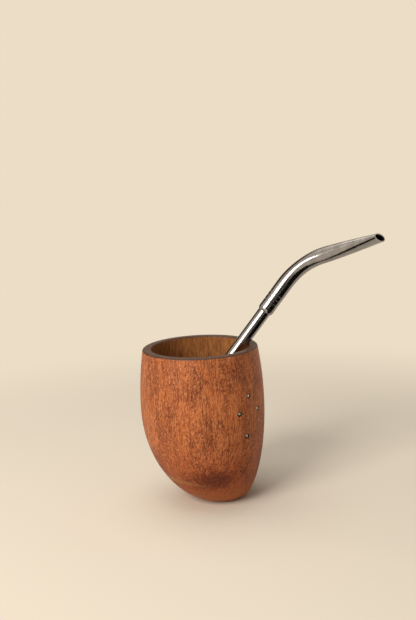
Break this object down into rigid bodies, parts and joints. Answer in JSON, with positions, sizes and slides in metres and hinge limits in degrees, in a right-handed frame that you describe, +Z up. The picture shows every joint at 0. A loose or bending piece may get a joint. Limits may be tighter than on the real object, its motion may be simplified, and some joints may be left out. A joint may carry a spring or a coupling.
{
  "type": "wooden mate cup with metal straw",
  "caption": "Round-bottomed hand-carved wooden mate cup with inlaid metal pins and a bent steel drinking straw leaning in its open hollow.",
  "frame": {"origin": "centre of the flat spot that the cup stands on", "axes": "+Z up, +X the side that the straw leans to, -Y the cup's front"},
  "size_m": [0.1344, 0.0696, 0.1476],
  "materials": {
    "carved_wood": "oiled, satin",
    "pin_metal": "satin",
    "straw_steel": "polished"
  },
  "bodies": {
    "root": {"cup": "carved_wood", "pin_top": "pin_metal", "pin_right": "pin_metal", "pin_left": "pin_metal", "pin_bottom": "pin_metal", "straw_shaft": "straw_steel", "straw_neck": "straw_steel"}
  },
  "joints": []
}
